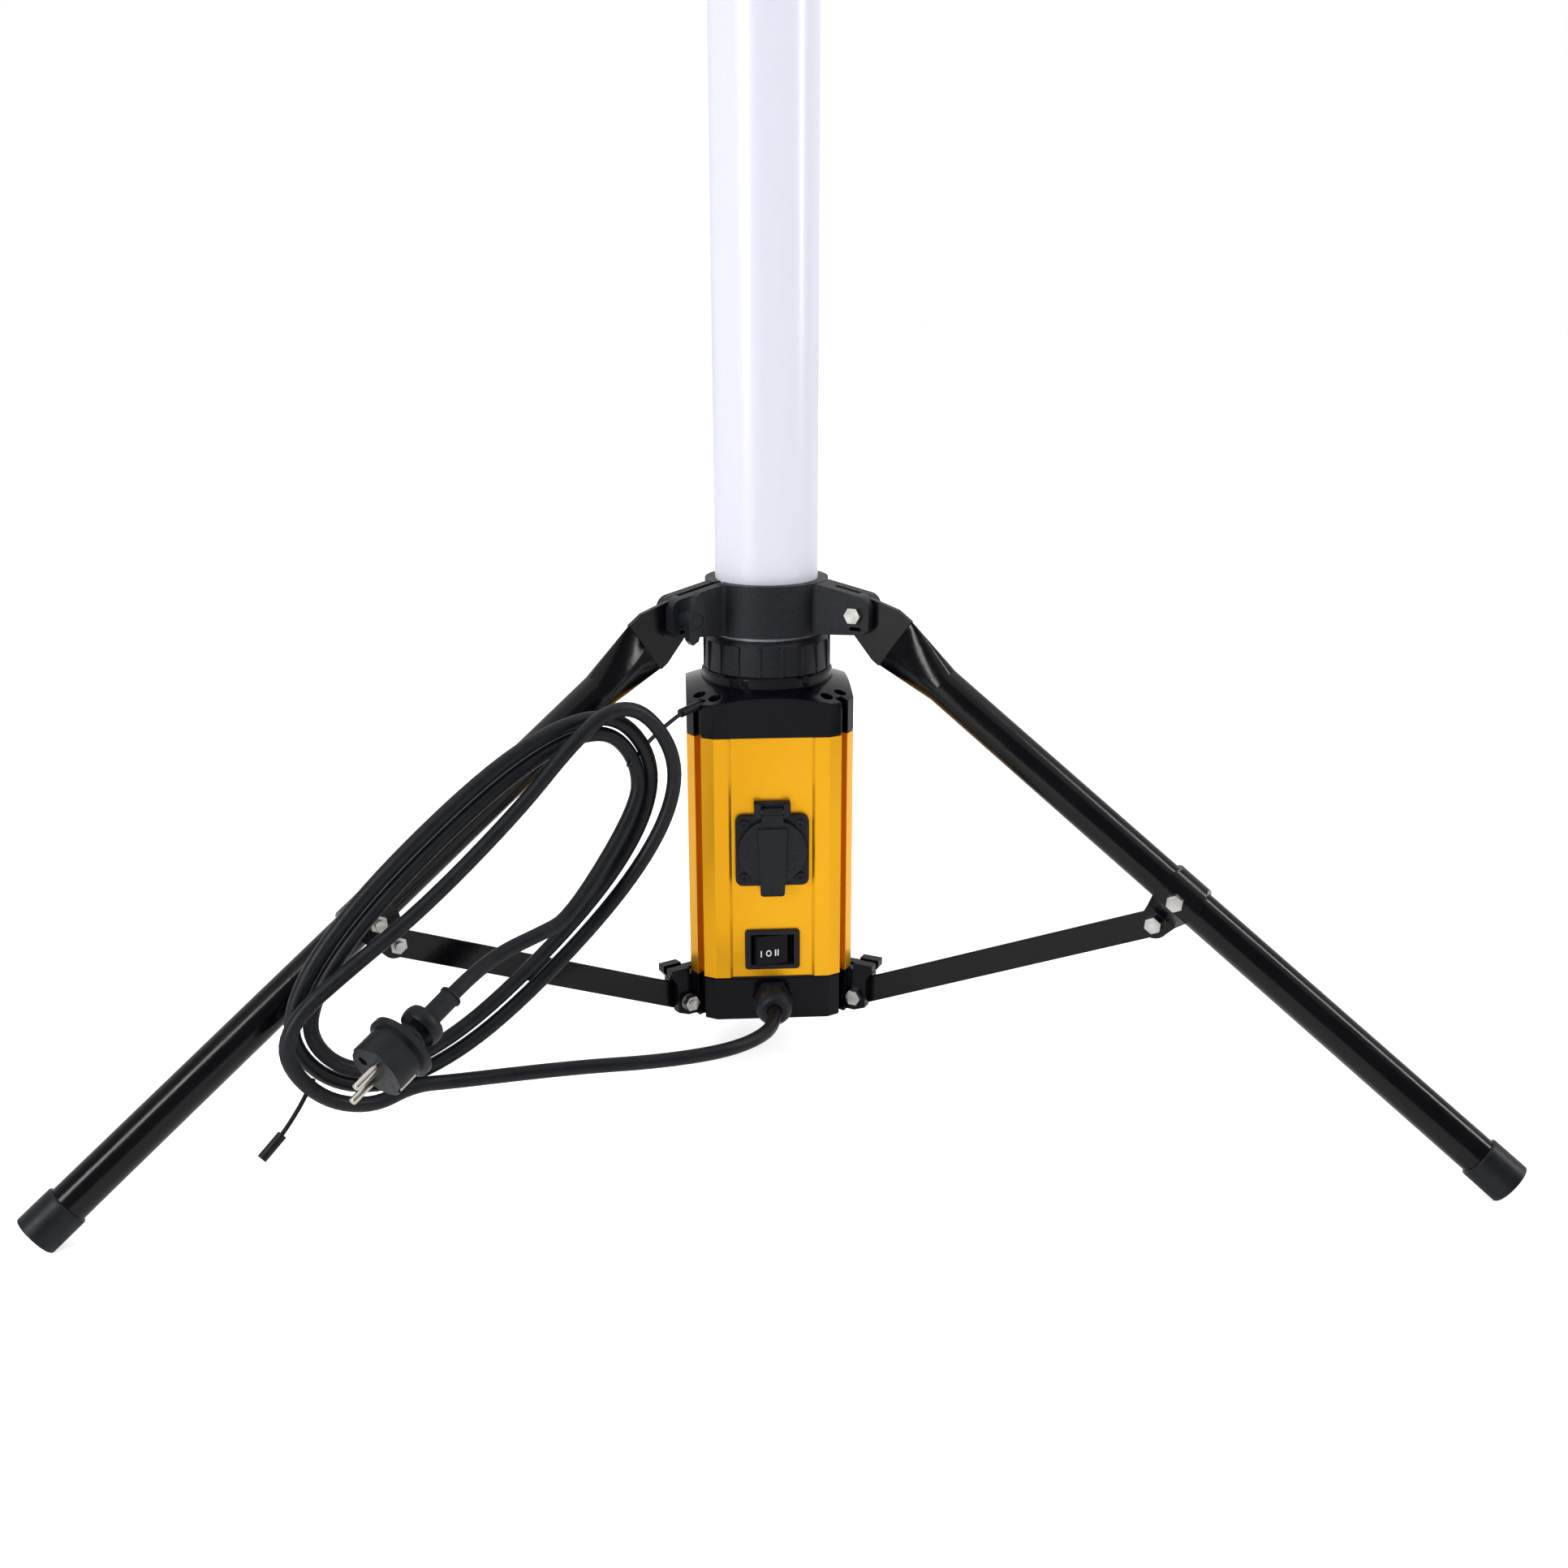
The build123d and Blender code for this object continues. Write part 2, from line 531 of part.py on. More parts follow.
# ---- switch ----
ROCKER_R = 14.4
ROCKER_PIVOT_Y = 50.5
ROCKER_TILT = 10.0
with BuildPart() as switch_bezel:
    with BuildSketch(FRONT.offset(PANEL_Y)):
        with Locations((0, SWITCH_Z)):
            RectangleRounded(38, 29, 2.5)
    extrude(amount=2.6)
    fillet(switch_bezel.faces().sort_by(Axis.Y)[0].edges(), 1)
    with BuildSketch(FRONT.offset(PANEL_Y)):
        with Locations((0, SWITCH_Z)):
            Rectangle(31.6, 24.6)
    extrude(amount=-26)
    with BuildSketch(FRONT.offset(PANEL_Y + 5)):
        with Locations((0, SWITCH_Z)):
            Rectangle(29.8, 22.4)
    extrude(amount=-24, mode=Mode.SUBTRACT)
save(switch_bezel, "switch_bezel")

with BuildPart() as switch_terminals:
    with BuildSketch(FRONT.offset(PANEL_Y - 26)):
        with Locations((0, SWITCH_Z)):
            with GridLocations(9, 11, 3, 2):
                Rectangle(4.8, 0.8)
    extrude(amount=-9)
save(switch_terminals, "switch_terminals")

with BuildPart() as switch_rocker:
    with BuildSketch(Plane.XY.offset(SWITCH_Z - 10.9)):
        with Locations((0, -ROCKER_PIVOT_Y)):
            Circle(ROCKER_R)
        Polygon((-15, -58.2), (9.5, -57.2), (12, -54.2), (15, -54.2), (15, -44), (-15, -44), align=None,
                mode=Mode.INTERSECT)
    extrude(amount=21.8)
    fillet(switch_rocker.edges().filter_by(Axis.Z, reverse=True).filter_by(lambda e: e.center().Y < -53.4), 0.5)
rocker_turn = Location((0, -ROCKER_PIVOT_Y, 0)) * Location((0, 0, 0), (0, 0, ROCKER_TILT))
switch_rocker.part = rocker_turn * (Location((0, ROCKER_PIVOT_Y, 0)) * switch_rocker.part)
save(switch_rocker, "switch_rocker")

# ---- cable gland ----
GLAND_Y = HOUSE_HALF
with BuildPart() as gland_body:
    with BuildSketch(FRONT.offset(GLAND_Y)):
        with Locations((0, GLAND_Z)):
            RegularPolygon(12, 6, major_radius=False)
    extrude(amount=6)
    put_discs(FRONT, [(0, GLAND_Z)], 8.0, GLAND_Y - 9, 9)
    put_discs(FRONT, [(0, GLAND_Z)], 8.6, GLAND_Y + 6, 9)
    put_discs(FRONT, [(0, GLAND_Z)], CORD_R + 0.2, GLAND_Y - 10, 30, Mode.SUBTRACT)
save(gland_body, "gland_body")

with BuildPart() as gland_nut:
    turned = Plane(origin=(0, 0, GLAND_Z), x_dir=(1, 0, 0), z_dir=(0, 0, 1))
    with BuildSketch(turned):
        with BuildLine():
            Polyline((8.7, -GLAND_Y - 6.4), (12.6, -GLAND_Y - 6.4), (12.6, -GLAND_Y - 14))
            ThreePointArc((12.6, -GLAND_Y - 14), (11.6, -GLAND_Y - 19.5), (8.6, -GLAND_Y - 23))
            Polyline((8.6, -GLAND_Y - 23), (5.2, -GLAND_Y - 23), (5.2, -GLAND_Y - 15.4), (8.7, -GLAND_Y - 15.4),
                     (8.7, -GLAND_Y - 6.4))
        make_face()
    revolve(axis=Axis((0, 0, GLAND_Z), (0, 1, 0)))
    with BuildSketch(FRONT.offset(GLAND_Y + 6.4)):
        with Locations((0, GLAND_Z)):
            with PolarLocations(13.6, 12):
                Circle(1.6)
    extrude(amount=9, mode=Mode.SUBTRACT)
save(gland_nut, "gland_nut")

# ---- inside the housing ----
with BuildPart() as led_driver:
    with Locations((0, 30, 190)):
        Box(64, 30, 92)
    fillet(led_driver.edges().filter_by(Axis.Z), 2)
    with Locations(*[(28 - 8 * k, 14.6, 190) for k in range(8)]):
        Box(3, 2, 80, mode=Mode.SUBTRACT)
save(led_driver, "led_driver")

with BuildPart() as terminal_block:
    with Locations((0, 22, 106)):
        Box(46, 18, 16)
    with Locations(*[(-17.5 + 7 * k, 12, 106) for k in range(6)]):
        Box(4.4, 6, 8, mode=Mode.SUBTRACT)
save(terminal_block, "terminal_block")


def wire(points, bend, radius):
    """Round wire along straight runs joined by arcs."""
    with BuildLine() as path:
        FilletPolyline(*points, radius=bend)
    route = path.wires()[0]
    with BuildSketch(Plane(origin=route @ 0, z_dir=route % 0)) as section:
        Circle(radius)
    sweep(section.sketch, path=route)


with BuildPart() as inner_wires:
    for k, (x, z) in enumerate(((-9.5, SOCKET_Z), (9.5, SOCKET_Z), (0, SOCKET_Z - 15))):
        wire([(x, -13.5, z), (x, 2, z), (x * 1.6 + 3 * k, 8, 130), (-17.5 + 14 * k, 10.5, 114)], 5, 1.5)
    wire([(20, 30, 236.5), (20, 26, 256), (6, 4, 262), (4, 2, LAMP_BOTTOM + 14)], 8, 1.3)
save(inner_wires, "inner_wires")

# ---- tripod hub ----
SLOT_BACK = 52.0
with BuildPart() as tripod_hub:
    with BuildSketch(Plane.XY.offset(HUB_Z[0])):
        Circle(HUB_R)
    extrude(amount=HUB_Z[1] - HUB_Z[0])
    for angle in LEGS.values():
        with BuildSketch(fold_plane(angle, -ARM_HALF)):
            with BuildLine():
                Polyline((HUB_BORE_R, HUB_Z[0]), (HUB_BORE_R, HUB_Z[1]), (HUB_R + 1, HUB_Z[1] - 0.5),
                         (PIVOT_R + 4, PIVOT_Z + 12.5))
                ThreePointArc((PIVOT_R + 4, PIVOT_Z + 12.5), (PIVOT_R + 8.6, PIVOT_Z + 9.6),
                              (PIVOT_R + 10.5, PIVOT_Z + 5))
                Polyline((PIVOT_R + 10.5, PIVOT_Z + 5), (PIVOT_R + 10.5, PIVOT_Z - 9),
                         (PIVOT_R + 7, PIVOT_Z - 13), (HUB_BORE_R, HUB_Z[0]))
            make_face()
        extrude(amount=2 * ARM_HALF)
    fillet(tripod_hub.edges().filter_by(Axis.Z).filter_by(lambda e: hypot(e.center().X, e.center().Y) < HUB_R + 3), 3)
    for name, angle in LEGS.items():
        plane = fold_plane(angle)
        slit_start = 0 if name == "left" else SLOT_BACK
        with BuildSketch(plane.offset(-FORK_GAP / 2)):
            with Locations(((slit_start + 120) / 2, PIVOT_Z)):
                Rectangle(120 - slit_start, 60)
        extrude(amount=FORK_GAP, mode=Mode.SUBTRACT)
        put_discs(plane, [(PIVOT_R, PIVOT_Z)], BOLT_R + 0.1, -30, 60, Mode.SUBTRACT)
        with BuildSketch(plane.offset(-30)):
            with Locations((PIVOT_R + 1, PIVOT_Z - 9.4)):
                Rectangle(8, 2.4)
        extrude(amount=60, mode=Mode.SUBTRACT)
    with BuildSketch(Plane.XY.offset(HUB_Z[0] - 1)):
        Circle(HUB_BORE_R)
    extrude(amount=HUB_Z[1] - HUB_Z[0] + 2, mode=Mode.SUBTRACT)
save(tripod_hub, "tripod_hub")

KNOB_HEAD = ARM_HALF + 1.2
with BuildPart() as hub_bolts:
    for name in ("right", "rear"):
        put_bolt(fold_plane(LEGS[name]), (PIVOT_R, PIVOT_Z), ARM_HALF)
    left = fold_plane(LEGS["left"])
    pivot = (PIVOT_R, PIVOT_Z)
    put_discs(left, [pivot], 6, ARM_HALF, 1.2)
    put_hexagon(left, pivot, KNOB_HEAD, 4)
    put_discs(left, [pivot], BOLT_R, -ARM_HALF - 10.5, 2 * ARM_HALF + 10.5)
save(hub_bolts, "hub_bolts")

# ---- wing knob on the left arm's bolt ----
KNOB_START = ARM_HALF + 0.4
KNOB_LENGTH = 14.0
BLADE_UP, BLADE_DOWN = 18.0, 16.0
knob_plane = Plane(origin=left.origin, x_dir=left.x_dir, z_dir=-left.z_dir)
knob_spot = (PIVOT_R, -PIVOT_Z)
with BuildPart() as clamp_knob:
    put_discs(knob_plane, [knob_spot], 6.2, KNOB_START, KNOB_LENGTH)
    with BuildSketch(knob_plane.offset(KNOB_START + 7)):
        with BuildLine():
            Polyline((PIVOT_R - 5.6, -PIVOT_Z - 2), (PIVOT_R - 5.9, -PIVOT_Z - BLADE_UP + 4),
                     (PIVOT_R - 3.2, -PIVOT_Z - BLADE_UP), (PIVOT_R - 0.6, -PIVOT_Z - BLADE_UP + 2),
                     (PIVOT_R + 5.8, -PIVOT_Z), (PIVOT_R + 5.4, -PIVOT_Z + BLADE_DOWN - 3),
                     (PIVOT_R + 3, -PIVOT_Z + BLADE_DOWN), (PIVOT_R - 1.4, -PIVOT_Z + BLADE_DOWN - 2.4), close=True)
        make_face()
    extrude(amount=6.4)
    put_discs(knob_plane, [knob_spot], 4.9, KNOB_START + KNOB_LENGTH - 1.4, 3, Mode.SUBTRACT)
    put_discs(knob_plane, [knob_spot], BOLT_R + PIVOT_PLAY, KNOB_START - 1, 11.4, Mode.SUBTRACT)
save(clamp_knob, "clamp_knob")

with BuildPart() as knob_cap:
    put_discs(knob_plane, [knob_spot], 4.8, KNOB_START + KNOB_LENGTH - 1.35, 0.9)
save(knob_cap, "knob_cap")

# ---- one leg and its brace, drawn in the fold plane that faces -Y ----
PLATE_HALF = 19.5
with BuildPart() as leg_tube:
    with BuildSketch(LEG_SIDE.offset(-PLATE / 2)):
        with BuildLine():
            ThreePointArc((0, 13), (-13, 0), (0, -13))
            Polyline((0, -13), (FLAT_END - 6, -PLATE_HALF), (FLAT_END, -PLATE_HALF), (FLAT_END, PLATE_HALF),
                     (FLAT_END - 12, PLATE_HALF), (0, 13))
        make_face()
    extrude(amount=PLATE)
    with BuildSketch(leg_section(FLAT_END)):
        Ellipse(PLATE / 2 + 0.3, PLATE_HALF)
    with BuildSketch(leg_section((FLAT_END + ROUND_START) / 2)):
        Ellipse(8.8, 16.2)
    with BuildSketch(leg_section(ROUND_START)):
        Circle(LEG_R)
    loft()
    with BuildSketch(leg_section(ROUND_START)):
        Circle(LEG_R)
    extrude(amount=LEG_LENGTH - SOLE - ROUND_START)
    with BuildSketch(leg_section(ROUND_START + 5)):
        Circle(LEG_R - LEG_WALL)
    extrude(amount=LEG_LENGTH, mode=Mode.SUBTRACT)
    put_discs(LEG_SIDE, [(0, 0)], BOLT_R + PIVOT_PLAY, -20, 40, Mode.SUBTRACT)
    put_discs(LEG_SIDE, [(CLAMP_AT, 0)], BOLT_R + 0.1, -20, 40, Mode.SUBTRACT)

with BuildPart() as leg_foot:
    with BuildSketch(leg_section(LEG_LENGTH - FOOT_LENGTH)):
        Circle(FOOT_R)
    extrude(amount=FOOT_LENGTH)
    fillet(leg_foot.edges().filter_by(GeomType.CIRCLE), 1.2)
    with BuildSketch(leg_section(LEG_LENGTH - SOLE)):
        Circle(LEG_R)
    extrude(amount=-40, mode=Mode.SUBTRACT)
    with BuildSketch(Plane.XY):
        with Locations((0, -500)):
            Rectangle(200, 200)
    extrude(amount=-30, mode=Mode.SUBTRACT)

SHEET = 2.0
CHEEK = LEG_R + 0.1
TAB = BRACE_GAP / 2
with BuildPart() as leg_bracket:
    with BuildSketch(leg_section(CLAMP_AT - 16)):
        Circle(CHEEK + SHEET)
        Circle(CHEEK, mode=Mode.SUBTRACT)
        with Locations((0, -20)):
            Rectangle(40, 40, mode=Mode.SUBTRACT)
        for side in (-1, 1):
            outline = [(CHEEK, 0.2), (CHEEK + SHEET, 0.2), (CHEEK + SHEET, -6.8), (TAB + SHEET, -18.9),
                       (TAB + SHEET, -38), (TAB, -38), (TAB, -18.1), (CHEEK, -6)]
            Polygon(*[(side * x, y) for x, y in outline], align=None)
    extrude(amount=32)
    with BuildSketch(LEG_SIDE.offset(-30)):
        with Locations((CLAMP_AT, 3)):
            Circle(15.5)
        with Locations((CLAMP_AT, -BRACE_DROP)):
            Circle(10)
        Polygon((CLAMP_AT - 15.5, 3), (CLAMP_AT + 15.5, 3), (CLAMP_AT + 10, -BRACE_DROP),
                (CLAMP_AT - 10, -BRACE_DROP), align=None)
    extrude(amount=60, mode=Mode.INTERSECT)
    put_discs(LEG_SIDE, [(CLAMP_AT, 0), (CLAMP_AT, -BRACE_DROP)], BOLT_R + 0.1, -30, 60, Mode.SUBTRACT)

with BuildPart() as bracket_bolts:
    put_bolt(LEG_SIDE, (CLAMP_AT, 0), CHEEK + SHEET)
    put_bolt(LEG_SIDE, (CLAMP_AT, -BRACE_DROP), TAB + SHEET)

BRACE_SIDE = Plane(origin=(0, -COLLAR_R, COLLAR_Z), x_dir=(0, -BRACE_RUN[0], BRACE_RUN[1]), z_dir=(-1, 0, 0))
with BuildPart() as brace:
    with BuildSketch(BRACE_SIDE.offset(-BRACE_THICK / 2)):
        with Locations((BRACE_LENGTH / 2, 0)):
            SlotCenterToCenter(BRACE_LENGTH, BRACE_WIDTH)
    extrude(amount=BRACE_THICK)
    chamfer(brace.faces().filter_by(Axis.X).edges(), 0.5)
    put_discs(BRACE_SIDE, [(0, 0), (BRACE_LENGTH, 0)], BOLT_R + PIVOT_PLAY, -10, 20, Mode.SUBTRACT)

LEG_PIECES = {"leg_tube": leg_tube, "leg_foot": leg_foot, "leg_bracket": leg_bracket,
              "bracket_bolts": bracket_bolts, "brace": brace}
for kind, drawn in LEG_PIECES.items():
    for side, angle in LEGS.items():
        with BuildPart() as placed:
            add(drawn.part, rotation=(0, 0, angle))
        save(placed, f"{kind}_{side}")

# ---- power cord: lead, hank, tail, plug and ties ----
LEAD = [(0, -GLAND_Y - 16, GLAND_Z), (0, -97, 58), (-13, -120, 57.5), (-38, -137, 57), (-80, -146, 56),
        (-126, -152, 57), (-172, -166, 60), (-206, -181, 64), (-228, -192, 68)]
HANK_PLANE = fold_plane(LEGS["left"])
HANK_SIDE = -50.0                 # middle of the hank, in front of the left leg
HANK_MIDDLE = (240.0, 180.0)      # outwards along the leg, height
HANK_SLOPE = -36.7
HANK_HALF_LENGTH, HANK_HALF_WIDTH, HANK_THICK, HANK_BAND = 158.0, 72.0, 26.0, 42.0
TAIL = [(-131.3, -146, 157), (-150, -160, 152), (-170, -172, 147), (-187.3, -187.3, 139.8), (-200, -203.2, 131.5)]
PLUG_FRONT = (-238.1, -251.1, 106.6)
PLUG_BACK = (-200.0, -203.2, 131.5)
PLUG_ACROSS = (-0.254, 0.595, -0.755)   # from one pin to the other


def tube_along(points, radius):
    """Cord tube along straight runs, each corner an arc as large as its runs allow."""
    bends = []
    for a, b, c in zip(points, points[1:], points[2:]):
        run_in, run_out = Vector(*b) - Vector(*a), Vector(*c) - Vector(*b)
        turn = radians(run_in.get_angle(run_out))
        bends.append(0.45 * min(run_in.length, run_out.length) / tan(turn / 2))
    print("cord bends", [round(bend, 1) for bend in bends])
    with BuildLine() as path:
        FilletPolyline(*points, radius=bends)
    route = path.wires()[0]
    with BuildSketch(Plane(origin=route @ 0, z_dir=route % 0)) as section:
        Circle(radius)
    sweep(section.sketch, path=route)
    return route.length


with BuildPart() as power_cord:
    length = tube_along(LEAD, CORD_R)
print("lead", round(length, 1), "volume check", round(power_cord.part.volume / (pi * CORD_R ** 2 * length), 4))
save(power_cord, "power_cord")

with BuildPart() as cord_hank:
    with BuildSketch(HANK_PLANE.offset(HANK_SIDE - HANK_THICK / 2)):
        with Locations(Location((*HANK_MIDDLE, 0), (0, 0, HANK_SLOPE))):
            SlotOverall(2 * HANK_HALF_LENGTH, 2 * HANK_HALF_WIDTH)
            SlotOverall(2 * (HANK_HALF_LENGTH - HANK_BAND), 2 * (HANK_HALF_WIDTH - HANK_BAND), mode=Mode.SUBTRACT)
    extrude(amount=HANK_THICK)
    fillet(cord_hank.faces().filter_by(HANK_PLANE).edges(), 8)
save(cord_hank, "cord_hank")

with BuildPart() as cord_tail:
    tail_length = tube_along(TAIL, CORD_R)
print("tail", round(tail_length, 1), round(cord_tail.part.volume / (pi * CORD_R ** 2 * tail_length), 4))
save(cord_tail, "cord_tail")

plug_way = Vector(*PLUG_FRONT) - Vector(*PLUG_BACK)
plug_plane = Plane(origin=PLUG_FRONT, x_dir=PLUG_ACROSS, z_dir=plug_way)
PLUG_LENGTH = plug_way.length
PIN_R, PIN_ROOT_R, PIN_LENGTH = 2.4, 2.1, 19.0
PIN_SPOTS = [(-PIN_SPACING / 2, 0), (PIN_SPACING / 2, 0)]
PLUG_SIDE = Plane(origin=PLUG_FRONT, x_dir=plug_plane.x_dir, z_dir=plug_plane.y_dir)   # y runs backwards
with BuildPart() as plug_body:
    with BuildSketch(PLUG_SIDE):
        with BuildLine():
            Polyline((0, 0), (17.6, 0), (18.3, 0.7), (18.3, 18.5), (21.5, 19.2), (21.5, 23), (17.5, 24.5))
            ThreePointArc((17.5, 24.5), (11.6, 27), (9.4, 32))
            ThreePointArc((9.4, 32), (13.2, 40), (9.2, 47.5))
            Polyline((9.2, 47.5), (8.2, 48.5), (7.2, PLUG_LENGTH), (0, PLUG_LENGTH), (0, 0))
        make_face()
    revolve(axis=Axis(PLUG_FRONT, plug_way))
    for back in (51, 55, 59, 63):
        with BuildSketch(plug_plane.offset(-back)) as groove:
            Circle(12)
            Circle(6.4, mode=Mode.SUBTRACT)
        extrude(groove.sketch, amount=-1.7, mode=Mode.SUBTRACT)
    put_discs(plug_plane, PIN_SPOTS, PIN_ROOT_R, -12, 20, Mode.SUBTRACT)
    with BuildSketch(plug_plane.offset(-14)):
        for side in (-1, 1):
            with Locations((0, side * 18.6)):
                Rectangle(6, 3.6)
    extrude(amount=20, mode=Mode.SUBTRACT)
    put_discs(plug_plane, [(0, -10)], 3.1, -15, 20, Mode.SUBTRACT)
save(plug_body, "plug_body")

with BuildPart() as plug_contacts:
    put_discs(plug_plane, PIN_SPOTS, PIN_ROOT_R, -12, 14)
    put_discs(plug_plane, PIN_SPOTS, PIN_R, 1, PIN_LENGTH - 1)
    fillet(plug_contacts.faces().filter_by(plug_plane).sort_by(Axis(PLUG_FRONT, plug_way))[-2:].edges(), 1)
    with BuildSketch(plug_plane.offset(-13.9)):
        for side in (-1, 1):
            with Locations((0, side * 17.4)):
                Rectangle(4, 1)
    extrude(amount=13)
save(plug_contacts, "plug_contacts")

TIE_R, SHEATH_R = 1.4, 3.0
TIES = {"upper": [(-47, -47, 268), (-60, -62, 266), (-78, -88, 258), (-94, -111, 245)],
        "lower": [(-307, -252, 54), (-296, -244, 65), (-287, -232, 77), (-281, -220, 88)]}
with BuildPart() as cord_ties:
    for points in TIES.values():
        tube_along(points, TIE_R)
        tip, end = Vector(*points[0]), Vector(*points[1])
        put_discs(Plane(origin=tip, z_dir=end - tip), [(0, 0)], SHEATH_R, 0, (end - tip).length)
save(cord_ties, "cord_ties")
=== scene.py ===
import json
import math
import bmesh
import bpy
from mathutils import Matrix, Vector


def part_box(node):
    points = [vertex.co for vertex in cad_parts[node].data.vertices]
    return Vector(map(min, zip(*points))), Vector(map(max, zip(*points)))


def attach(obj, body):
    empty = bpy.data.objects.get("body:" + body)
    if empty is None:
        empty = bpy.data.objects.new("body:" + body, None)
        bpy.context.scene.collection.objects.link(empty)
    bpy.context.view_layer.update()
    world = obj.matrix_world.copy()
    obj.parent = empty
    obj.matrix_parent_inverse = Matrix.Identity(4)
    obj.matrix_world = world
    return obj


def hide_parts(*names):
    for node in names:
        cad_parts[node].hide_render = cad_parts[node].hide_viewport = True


# Looks for a tubular work light on a folding tripod. Every place is worked out
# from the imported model; lengths in this script are millimetres about the lamp's
# axis until at() turns them into metres in the frame.

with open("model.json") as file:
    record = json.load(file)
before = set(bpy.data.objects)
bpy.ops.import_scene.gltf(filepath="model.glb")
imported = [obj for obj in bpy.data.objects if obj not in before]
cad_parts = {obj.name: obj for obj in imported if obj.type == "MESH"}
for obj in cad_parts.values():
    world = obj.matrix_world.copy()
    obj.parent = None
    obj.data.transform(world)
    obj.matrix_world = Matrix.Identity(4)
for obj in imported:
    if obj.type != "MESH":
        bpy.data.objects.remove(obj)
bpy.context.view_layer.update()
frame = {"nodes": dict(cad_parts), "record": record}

low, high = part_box("diffuser_tube")
AXIS = Vector(((low[0] + high[0]) / 2, (low[1] + high[1]) / 2, 0))
MM = 0.001


def at(x, y, z):
    """A place in millimetres about the lamp's axis, as metres in the frame."""
    return AXIS + Vector((x, y, z)) * MM


# ---- camera ----
EYE = (-60.3, -1141.4, 547.6)
PITCH, ROLL, HEADING = 17.05, -0.10, 3.61      # degrees down, over, and round to the right
LENS = 38.87

camera_data = bpy.data.cameras.new("camera")
camera_data.lens = LENS
camera_data.sensor_width = 36
camera_data.clip_start = 0.01
camera = bpy.data.objects.new("camera", camera_data)
bpy.context.collection.objects.link(camera)
camera.location = at(*EYE)
turn = Matrix.Rotation(math.radians(-HEADING), 4, "Z") @ Matrix.Rotation(math.radians(90 - PITCH), 4, "X")
camera.rotation_euler = (turn @ Matrix.Rotation(math.radians(ROLL), 4, "Z")).to_euler()
bpy.context.scene.camera = camera
bpy.context.scene.view_settings.view_transform = "Standard"


# ---- materials ----
class Shader:
    """A Principled material whose inputs can be driven by noise in object space."""

    def __init__(self, name, colour, rough, metallic=0.0, **inputs):
        self.material = bpy.data.materials.new(name)
        self.material.use_nodes = True
        self.nodes = self.material.node_tree.nodes
        self.links = self.material.node_tree.links
        self.bsdf = self.nodes["Principled BSDF"]
        self.bsdf.inputs["Base Color"].default_value = (*colour, 1)
        self.bsdf.inputs["Roughness"].default_value = rough
        self.bsdf.inputs["Metallic"].default_value = metallic
        for key, value in inputs.items():
            self.bsdf.inputs[key.replace("_", " ")].default_value = value
        self.place = self.nodes.new("ShaderNodeTexCoord").outputs["Object"]

    def stretch(self, x, y, z):
        mapping = self.nodes.new("ShaderNodeMapping")
        mapping.inputs["Scale"].default_value = (x, y, z)
        self.links.new(self.place, mapping.inputs["Vector"])
        return mapping.outputs["Vector"]

    def noise(self, scale, detail=4.0, vector=None, roughness=0.5):
        node = self.nodes.new("ShaderNodeTexNoise")
        node.inputs["Scale"].default_value = scale
        node.inputs["Detail"].default_value = detail
        node.inputs["Roughness"].default_value = roughness
        self.links.new(vector or self.place, node.inputs["Vector"])
        return node.outputs["Fac"]

    def spread(self, fac, low, high, start=0.3, end=0.7):
        """The noise as a value between low and high."""
        node = self.nodes.new("ShaderNodeMapRange")
        for key, value in (("From Min", start), ("From Max", end), ("To Min", low), ("To Max", high)):
            node.inputs[key].default_value = value
        self.links.new(fac, node.inputs["Value"])
        return node.outputs["Result"]

    def rough(self, fac, low, high):
        self.links.new(self.spread(fac, low, high), self.bsdf.inputs["Roughness"])
        return self

    def tint(self, fac, dark, light, start=0.3, end=0.7):
        mix = self.nodes.new("ShaderNodeMix")
        mix.data_type = "RGBA"
        mix.inputs["A"].default_value = (*dark, 1)
        mix.inputs["B"].default_value = (*light, 1)
        self.links.new(self.spread(fac, 0, 1, start, end), mix.inputs["Factor"])
        self.links.new(mix.outputs["Result"], self.bsdf.inputs["Base Color"])
        return self

    def bump(self, fac, depth, edge=0.0):
        """Bump of a depth in metres over edges that look rounded by a radius in metres."""
        node = self.nodes.new("ShaderNodeBump")
        node.inputs["Strength"].default_value = 1.0
        node.inputs["Distance"].default_value = depth
        self.links.new(fac, node.inputs["Height"])
        if edge:
            bevel = self.nodes.new("ShaderNodeBevel")
            bevel.samples = 4
            bevel.inputs["Radius"].default_value = edge
            self.links.new(bevel.outputs["Normal"], node.inputs["Normal"])
        self.links.new(node.outputs["Normal"], self.bsdf.inputs["Normal"])
        return self


def opal():
    shader = Shader("opal_polycarbonate", (0.60, 0.61, 0.69), 0.3, Coat_Weight=0.12, Coat_Roughness=0.12)
    haze = shader.noise(3, 2, shader.stretch(1, 1, 0.15))
    shader.tint(haze, (0.59, 0.60, 0.68), (0.62, 0.63, 0.71))
    shader.bump(shader.noise(40, 2, shader.stretch(1, 1, 0.02)), 0.00001)
    return shader.rough(haze, 0.28, 0.33).material


def nylon():
    shader = Shader("grained_nylon", (0.008, 0.009, 0.012), 0.45, Specular_IOR_Level=0.2)
    shader.tint(shader.noise(900, 2), (0.004, 0.005, 0.008), (0.011, 0.012, 0.016))
    shader.bump(shader.noise(1400, 3), 0.00010, 0.0006)
    return shader.rough(shader.noise(500), 0.38, 0.52).material


def gloss_moulding():
    shader = Shader("gloss_moulding", (0.002, 0.002, 0.004), 0.16, Specular_IOR_Level=0.12)
    shader.tint(shader.noise(14), (0.001, 0.001, 0.003), (0.003, 0.003, 0.006))
    shader.bump(shader.noise(220, 2), 0.00004, 0.0008)
    return shader.rough(shader.noise(40), 0.12, 0.22).material


